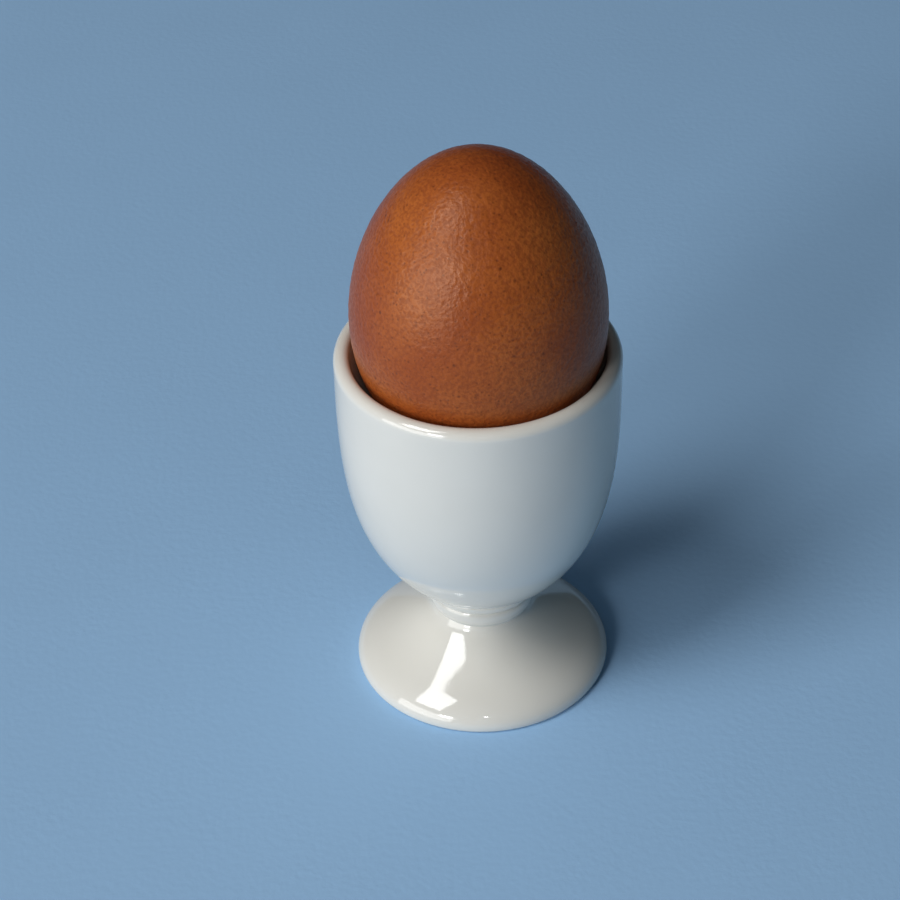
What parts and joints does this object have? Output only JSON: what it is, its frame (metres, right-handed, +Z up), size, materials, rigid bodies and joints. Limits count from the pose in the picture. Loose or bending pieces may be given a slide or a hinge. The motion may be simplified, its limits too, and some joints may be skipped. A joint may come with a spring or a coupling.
{
  "type": "boiled egg in egg cup",
  "caption": "Boiled brown egg, narrow end up, standing in a white glazed porcelain egg cup with a deep bowl, ringed neck and flared round foot.",
  "frame": {"origin": "on the table, at the middle of the cup's foot", "axes": "+Z up along the cup's axis, through the egg's narrow end; X and Y are free, as the object is round"},
  "size_m": [0.05, 0.05, 0.1072],
  "materials": {
    "brown_eggshell": "brown eggshell with a low satin sheen, fine pores and faint darker speckles",
    "glazed_porcelain": "warm white glossy glaze"
  },
  "bodies": {
    "root": {"boiled_egg": "brown_eggshell", "egg_cup": "glazed_porcelain"}
  },
  "joints": []
}
